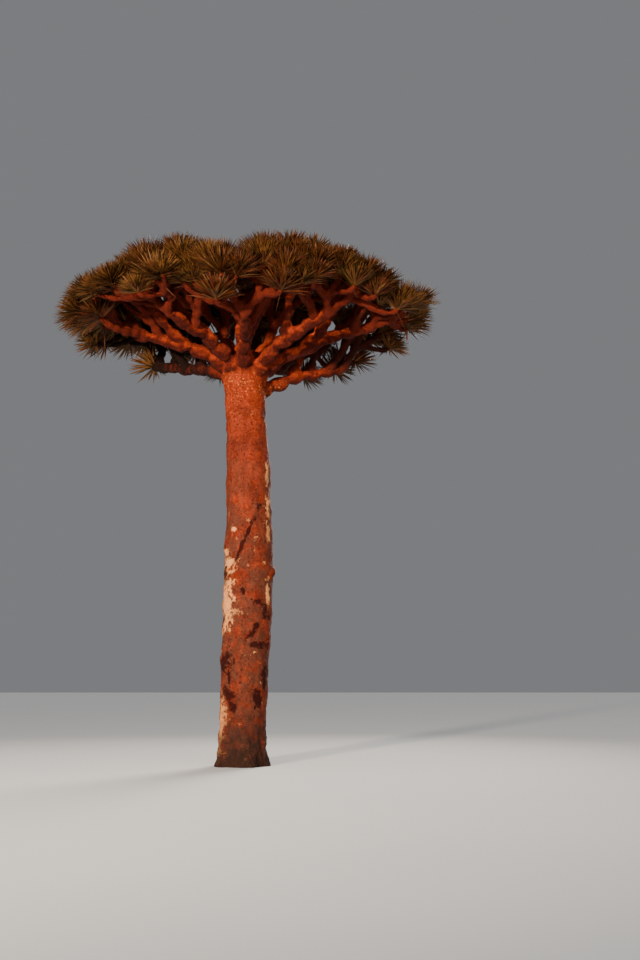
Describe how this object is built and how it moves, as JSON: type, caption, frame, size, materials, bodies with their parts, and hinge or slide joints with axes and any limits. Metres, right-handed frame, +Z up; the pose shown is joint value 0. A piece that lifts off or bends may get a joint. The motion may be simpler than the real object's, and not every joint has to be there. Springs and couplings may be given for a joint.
{
  "type": "dragon blood tree",
  "caption": "Umbrella-shaped evergreen tree: thick bare trunk, whorl of spreading boughs, domed crown of stiff sword-leaf rosettes.",
  "frame": {"origin": "middle of the flat cut under the trunk, at ground level", "axes": "+Z up, +X to the tree's right as the picture shows it, -Y towards the picture's camera"},
  "size_m": [5.1218, 4.7726, 6.8715],
  "materials": {
    "bark": "matte, slightly scaly reddish-orange bark",
    "foliage": "matte, stiff olive-brown leaves"
  },
  "bodies": {
    "root": {"trunk": "bark", "bough_right": "bark", "bough_right_rear": "bark", "bough_rear_right": "bark", "bough_rear_left": "bark", "bough_left_rear": "bark", "bough_left": "bark", "bough_left_front": "bark", "bough_front": "bark", "bough_right_front": "bark", "upper_bough_front": "bark", "upper_bough_right": "bark", "upper_bough_left": "bark", "riser_right": "bark", "riser_right_rear": "bark", "riser_rear_right": "bark", "riser_rear_left": "bark", "riser_left_rear": "bark", "riser_left": "bark", "riser_left_front": "bark", "riser_front": "bark", "riser_right_front": "bark", "rim_right_a": "foliage", "rim_right_b": "foliage", "middle_right": "foliage", "rim_right_rear_a": "foliage", "rim_right_rear_b": "foliage", "middle_right_rear": "foliage", "rim_rear_right_a": "foliage", "rim_rear_right_b": "foliage", "middle_rear_right": "foliage", "rim_rear_left_a": "foliage", "rim_rear_left_b": "foliage", "middle_rear_left": "foliage", "rim_left_rear_a": "foliage", "rim_left_rear_b": "foliage", "middle_left_rear": "foliage", "rim_left_a": "foliage", "rim_left_b": "foliage", "middle_left": "foliage", "rim_left_front_a": "foliage", "rim_left_front_b": "foliage", "middle_left_front": "foliage", "rim_front_a": "foliage", "rim_front_b": "foliage", "middle_front": "foliage", "rim_right_front_a": "foliage", "rim_right_front_b": "foliage", "middle_right_front": "foliage", "top_front_a": "foliage", "top_front_b": "foliage", "top_front_c": "foliage", "top_right_a": "foliage", "top_right_b": "foliage", "top_right_c": "foliage", "top_left_a": "foliage", "top_left_b": "foliage", "top_left_c": "foliage"}
  },
  "joints": []
}
